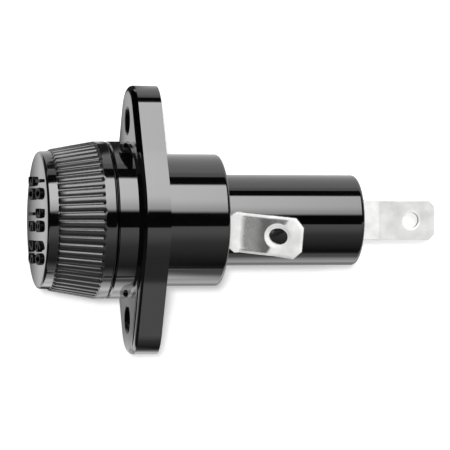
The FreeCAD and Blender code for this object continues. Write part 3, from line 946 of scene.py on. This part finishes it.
# %% [markdown]
# ## The rolled threads
#
# The cap's sleeve screws into the brass shell with a thread of 2 mm pitch, rolled into thin
# metal, which the solids leave out. Each thread is one rounded ridge along a right-hand helix.
# The shell's ridge stands half a pitch from the sleeve's, so the two never touch, however far the
# cap is turned. The screw modifier could wind such a ridge, but the sleeve is slit into six
# fingers, and the ridge has to stop at each slit.

# %% The path of a thread
thread_pitch = 2.0
thread_steps = 144
thread_fade = 0.25
thread_end_size = 0.04
thread_front = -7.9
sleeve_thread_rear, shell_thread_rear = -3.3, -1.6
sleeve_radius, shell_bore = 6.1, 6.7
slit_spacing = math.radians(60)
slit_half_angle = math.radians(4.6)
slit_start = -6.75


def thread_runs(x_end, radius, shift, slits):
    """Centres along a right-hand helix, cut into runs where the slits interrupt it."""
    runs = [[]]
    steps = round((x_end - thread_front) / thread_pitch * thread_steps)
    for step in range(steps + 1):
        x = thread_front + (x_end - thread_front) * step / steps
        angle = -2 * math.pi * (x + shift) / thread_pitch
        fade = smooth_step(min(x - thread_front, x_end - x) / thread_fade)
        size = fade * (1 - thread_end_size) + thread_end_size
        from_slit = abs((angle + slit_spacing / 2) % slit_spacing - slit_spacing / 2)
        if slits and x > slit_start and from_slit < slit_half_angle:
            if runs[-1]:
                runs.append([])
        else:
            runs[-1].append((x, radius, angle, size))
    return [run for run in runs if len(run) > 2]


# %% Roll both threads
ridge_front = [(-0.05, -0.6), (0.1, -0.42), (0.25, -0.18)]
ridge_rear = [(outward, -along) for outward, along in reversed(ridge_front)]
ridge = ridge_front + [(0.29, 0)] + ridge_rear
inner_depth = 0.65
inner_ridge = [(-inner_depth * outward, -along) for outward, along in ridge]
sleeve_runs = thread_runs(sleeve_thread_rear, sleeve_radius, 0, True)
shell_runs = thread_runs(shell_thread_rear, shell_bore, thread_pitch / 2, False)
for name, body, runs, section in (
    ("sleeve_thread", "screw_cap", sleeve_runs, ridge),
    ("shell_thread", "holder", shell_runs, inner_ridge),
):
    thread_mesh = swept_mesh(name, runs, section)
    link_piece(name, thread_mesh, brass, body)
    print(name, "in", len(runs), "runs,", len(thread_mesh.polygons), "faces")

# %% [markdown]
# ## The two tabs
#
# Both terminals are folded from brass strip and end in a push-on tab. Stamping leaves fine things
# that catch the light: bevelled edges, a coined ring pressed round the hole, and on the side tab
# a slight dish that turns its end up. A flat plate with a boolean hole can't bend, so each tab is
# a web of points instead: rings round the hole that spread out to the tab's outline. The rest of
# the strip is one section swept along its folds.

# %% Sizes of the tabs
tab_width = 6.35
tab_thickness = 0.8
strip_thickness = 0.9
strip_bevel = 0.12
hole_radius = 1.3
hole_inset = 4.0
ring_steps = 96
ring_levels = (0, 0.06, 0.2, 0.45, 0.7, 0.9, 1.0, 1.1, 1.25)
middle_rings = 4
edge_levels = (1.5, 1.0, 0.75, 0.45, 0.2, 0.0)
print("rings per face:", len(ring_levels) + middle_rings + len(edge_levels))

# %% [markdown]
# ## A shell that grows
#
# A terminal is one strip of metal, so it becomes one mesh. This small class collects its points
# and faces ring by ring, and keeps each point's polish, which also sets a painted shade, beside
# it. Joining finished objects would do too, but then those values would have to be matched up
# afterwards.


# %% A shell of points and faces
class Shell:
    """Points in mm and faces that grow into one mesh."""

    def __init__(self):
        self.points = []
        self.faces = []
        self.polish_and_shade = []

    def add_rings(self, rings):
        """Joins closed rings of points with equal counts, one after another."""
        count = len(rings[0])
        first = len(self.points)
        for ring in rings:
            self.points.extend(ring)
        for row in range(len(rings) - 1):
            for i in range(count):
                a = first + row * count + i
                b = first + row * count + (i + 1) % count
                self.faces.append((a, b, b + count, a + count))
        return first

    def mesh(self, name):
        """The finished mesh, in metres."""
        mesh = bpy.data.meshes.new(name)
        points = [tuple(value * MM for value in point) for point in self.points]
        mesh.from_pydata(points, [], self.faces)
        # Each point's polish, which also sets the painted shade in the tin's colour.
        polish_and_shade = self.polish_and_shade + [0.0] * (len(points) - len(self.polish_and_shade))
        mesh.attributes.new("polish_and_shade", "FLOAT", "POINT").data.foreach_set("value", polish_and_shade)
        return mesh


# %% [markdown]
# ## The outline of a tab
#
# A tab has straight sides and cut corners. Each side is written as a direction and how far the
# side lies that way, because it is then easy to ask how far a point is from it, and where a ray
# from the hole meets it.


# %% Outline of a tab
def tab_outline(length, corner):
    """The tab's sides as (normal, reach, bevelled). Inside them normal . point < reach."""
    half = tab_width / 2
    slant = math.sqrt(0.5)
    return [
        ((-1, 0), 0.0, False),
        ((1, 0), length, True),
        ((0, 1), half, True),
        ((0, -1), half, True),
        ((slant, slant), (length + half - corner) * slant, True),
        ((slant, -slant), (length + half - corner) * slant, True),
    ]


def ray_reach(sides, start, direction, inset, plain_share=0.02):
    """How far the outline is from the start, once its bevelled sides are moved in by the inset and
    its plain side by a small share of it."""
    reaches = []
    for normal, reach, bevelled in sides:
        toward = normal[0] * direction[0] + normal[1] * direction[1]
        if toward > 1e-6:
            gap = reach - (inset if bevelled else plain_share * inset)
            reaches.append((gap - normal[0] * start[0] - normal[1] * start[1]) / toward)
    return min(reaches)


# %% [markdown]
# ## A push-on tab
# Rings of points spread out from the hole. They lie close together over the coined ring and along
# the bevel, where the form changes, and far apart between. How far a point lies from the hole and
# from the nearest side gives its height and its polish, and the polish also sets a painted shade
# in the tin's colour. A bevel modifier would bevel every edge alike, and the tab's root has to
# keep its square edge.


# %% A push-on tab
def add_tab(shell, length, corner, stretch, coin, bevel, place, surface, polish_and_shade_at):
    """Adds a tab along s. Its hole is longer by the stretch, and coin and bevel are (width, depth).
    Surface gives the middle's height at (s, t), place maps (s, t, height) into the holder, and the
    polish function gives how rubbed the plate is at (s, t), which also darkens its colour there as
    painted shade."""
    sides = tab_outline(length, corner)
    coin_width, coin_depth = coin
    bevel_width, bevel_depth = bevel
    hole = (length - hole_inset, 0.0)
    half = tab_width / 2
    marks = [(length, half - corner), (length - corner, half), (0, half)]
    marks += [(s, -t) for s, t in marks]
    angles = [2 * math.pi * i / ring_steps for i in range(ring_steps)]
    angles += [math.atan2(t - hole[1], s - hole[0]) % (2 * math.pi) for s, t in marks]
    inner = hole_radius + coin_width * ring_levels[-1]
    tops, bottoms = [], []
    polish_and_shade = {}
    for face, rings in ((1, tops), (-1, bottoms)):
        for step in range(len(ring_levels) + middle_rings + len(edge_levels)):
            ring = []
            middle_step = step - len(ring_levels) + 1
            for angle in sorted(angles):
                direction = (math.cos(angle), math.sin(angle))
                outer = ray_reach(sides, hole, direction, bevel_width * edge_levels[0])
                if middle_step <= 0:
                    reach = hole_radius + coin_width * ring_levels[step]
                elif middle_step <= middle_rings:
                    reach = inner + (outer - inner) * middle_step / (middle_rings + 1)
                else:
                    level = edge_levels[middle_step - middle_rings - 1]
                    reach = ray_reach(sides, hole, direction, bevel_width * level)
                s, t = hole[0] + reach * direction[0], hole[1] + reach * direction[1]
                near_hole = max(0.0, 1 - (reach - hole_radius) / (inner - hole_radius))
                edge = min(r - n[0] * s - n[1] * t for n, r, bevelled in sides if bevelled)
                from_hole = (math.hypot(s - hole[0], t - hole[1]) - hole_radius) / coin_width
                drop = bevel_depth * (1 - smooth_step(edge / bevel_width * 0.5 + 0.5)) * 2
                if face > 0:
                    drop += coin_depth * (1 - smooth_step(from_hole))
                height = surface(s, t) + face * (tab_thickness / 2 - drop)
                ring.append(place(s + stretch * near_hole * direction[0], t, height))
                # The bevels and the coined ring keep their matt plate. The underside is fully
                # rubbed, which darkens its colour as painted shade.
                flat = smooth_step(2 * edge / bevel_width - 1.2) * smooth_step(8 * from_hole - 8.2)
                polish_and_shade[ring[-1]] = flat * polish_and_shade_at(s, t) if face > 0 else 1.0
            rings.append(ring)
    first = shell.add_rings(list(reversed(tops)) + bottoms + [tops[0]])
    shell.polish_and_shade += [0.0] * (first - len(shell.polish_and_shade))
    shell.polish_and_shade += [polish_and_shade[point] for point in shell.points[first:]]


# %% [markdown]
# ## The folded strip
#
# The rest of each terminal is plain strip. One section with eight corners, broken a little by the
# stamping, is carried from station to station along the folds. Extruding a face by hand would do
# the same, but a list of stations keeps every length in sight.


# %% Sweep a strip
def add_strip(shell, path, place):
    """Sweeps the strip's section along (x, z, angle, half width, thickness) stations, in mm."""
    rings = []
    for x, z, angle, half, thickness in path:
        lean = math.radians(angle)
        thick = thickness / 2
        quarter = [(half - strip_bevel, thick), (half, thick - strip_bevel)]
        right_side = quarter + [(t, -h) for t, h in reversed(quarter)]
        section = right_side + [(-t, h) for t, h in reversed(right_side)]
        rings.append([place(x - h * math.sin(lean), t, z + h * math.cos(lean)) for t, h in section])
    first = shell.add_rings(rings)
    corners = len(section)
    last = first + len(rings) * corners
    shell.faces.append(tuple(reversed(range(first, first + corners))))
    shell.faces.append(tuple(range(last - corners, last)))


print("steps round the hole:", ring_steps)

# %% [markdown]
# ## The side terminal
#
# The side terminal's leg comes out of the boss, narrows to a neck and bends outward by 27
# degrees, so that a wire can be pushed on past the barrel. The whole strip is turned about the
# fuse axis by 14 degrees. Beyond a slanting crease the tab's end turns up a little, and the flat
# before that crease is rubbed, with painted shade darkening its colour. A deform modifier could
# bend a flat strip, but it would also stretch the metal, where stations keep its thickness true.

# %% Sizes of the side terminal
boss_rear = 9.8
side_clock = math.radians(14)
tab_lift = 27.0
leg_length = 12
leg_middle = 7.24 + strip_thickness / 2
bend_start = boss_rear + 1.75
bend_radius = 0.4 + strip_thickness / 2
bend_steps = 9
side_length = 10.0
wide, neck = tab_width / 2, 2.3
neck_front = boss_rear - 0.9
neck_step = 0.55
sag_start, sag_reach, sag_curve = 2.6, 2.8, 0.02
crease_place, crease_slant, crease_curve = 5.4, 0.55, 0.03
rub_start, rub_rise, rub_gap, rub_fade = 0.12, 0.4, 0.2, 0.6
bright_start, bright_fade, brighter = 2.0, 2.5, 0.4
print("side tab:", side_length, "mm long, lifted by", tab_lift, "degrees")


# %% Places on the side terminal
def rotated(a, b, angle):
    """The pair (a, b), turned by the angle."""
    return a * math.cos(angle) - b * math.sin(angle), a * math.sin(angle) + b * math.cos(angle)


def clocked(x, t, z):
    """Turns a point about the fuse axis, to where the side terminal leaves the boss."""
    return (x, *rotated(t, z, side_clock))


bend_rise = math.radians(tab_lift)
tab_root_x = bend_start + bend_radius * math.sin(bend_rise)
tab_root_z = leg_middle + bend_radius * (1 - math.cos(bend_rise))


def on_side_tab(s, t, height):
    """Maps tab coordinates to the lifted, clocked tab."""
    reach, rise = rotated(s, height, bend_rise)
    return clocked(tab_root_x + reach, t, tab_root_z + rise)


def past_crease(s, t):
    """How far the point lies beyond the slanting crease."""
    return s - crease_slant * t - crease_place


def side_tab_form(s, t):
    """The tab sags a little before its hole, and its end turns up beyond the crease."""
    sag = min(max(s - sag_start, 0.0), sag_reach)
    beyond = max(0.0, past_crease(s, t))
    return crease_curve * beyond * beyond - sag_curve * sag * sag


def side_tab_polish_and_shade(s, t):
    """The flat between the bend and the crease is rubbed and darkened as painted shade, most of all
    near the hole.
    """
    rubbed = smooth_step((s - rub_start) / rub_rise)
    rubbed *= 1 - smooth_step((past_crease(s, t) - rub_gap) / rub_fade)
    return rubbed * (1 + brighter * smooth_step((s - bright_start) / bright_fade))


# %% Fold the side terminal
side_shell = Shell()
leg = []
for x, half in (
    (boss_rear - leg_length, wide),
    (neck_front - (wide - neck), wide),
    (neck_front, neck),
    (bend_start - 3 * neck_step, neck),
    (bend_start - 2 * neck_step, (wide + neck) / 2),
    (bend_start - neck_step, wide),
):
    leg.append((x, leg_middle, 0, half, strip_thickness))
for lift in [0] + spread(0, tab_lift, bend_steps):
    rise = math.radians(lift)
    x = bend_start + bend_radius * math.sin(rise)
    z = leg_middle + bend_radius * (1 - math.cos(rise))
    thinner = (strip_thickness - tab_thickness) * lift / tab_lift
    leg.append((x, z, lift, wide, strip_thickness - thinner))
add_strip(side_shell, leg, clocked)
add_tab(
    side_shell,
    side_length,
    corner=1.35,
    stretch=0.2,
    coin=(0.76, 0.2),
    bevel=(0.5, 0.22),
    place=on_side_tab,
    surface=side_tab_form,
    polish_and_shade_at=side_tab_polish_and_shade,
)
side_mesh = side_shell.mesh("folded_side_terminal")
side_piece = link_piece("folded_side_terminal", side_mesh, tin, "holder")
smooth_shade(side_piece, 35)
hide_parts("side_terminal")
print("side terminal:", len(side_mesh.polygons), "faces")

# %% [markdown]
# ## The end terminal
#
# The end terminal's foot stands inside the barrel's end, held by a rivet. The strip folds by 90
# degrees at the axis and runs straight out as a flat tab, with a finer bevel and a shallower
# coined ring than the side tab. The same helpers make it, so only its stations are new.

# %% Sizes of the end terminal
end_low, end_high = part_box("end_terminal")
foot_front = end_low.x / MM
foot_top = end_high.z / MM
barrel_rear = 32.1
stock_end = barrel_rear + 4.1
end_length = end_high.x / MM - stock_end
fold_radius = 0.5 + strip_thickness / 2
fold_steps = 10
thinning = 0.3
# The end tab's polish, which also darkens its colour a little as painted shade.
end_polish_and_shade = 0.2
print("end tab:", round(end_length, 2), "mm long")


def plain(x, t, z):
    """Leaves a point where it is."""
    return (x, t, z)


def on_end_tab(s, t, height):
    """Maps tab coordinates to the straight end tab."""
    return (stock_end + s, t, height)


# %% Fold the end terminal
end_shell = Shell()
foot_x = foot_front + strip_thickness / 2
foot = [(foot_x, foot_top, 270, wide, strip_thickness)]
for fold in [0] + spread(0, 90, fold_steps):
    turned = math.radians(fold)
    x = foot_x + fold_radius * (1 - math.cos(turned))
    z = fold_radius * (1 - math.sin(turned))
    foot.append((x, z, 270 + fold, wide, strip_thickness))
foot.append((stock_end - thinning, 0, 360, wide, strip_thickness))
foot.append((stock_end, 0, 360, wide, tab_thickness))
add_strip(end_shell, foot, plain)
add_tab(
    end_shell,
    end_length,
    corner=1.0,
    stretch=0.0,
    coin=(0.3, 0.08),
    bevel=(0.2, 0.08),
    place=on_end_tab,
    surface=lambda s, t: 0.0,
    polish_and_shade_at=lambda s, t: end_polish_and_shade,
)
end_mesh = end_shell.mesh("folded_end_terminal")
end_piece = link_piece("folded_end_terminal", end_mesh, tin, "holder")
smooth_shade(end_piece, 35)
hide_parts("end_terminal")
print("end terminal:", len(end_mesh.polygons), "faces")
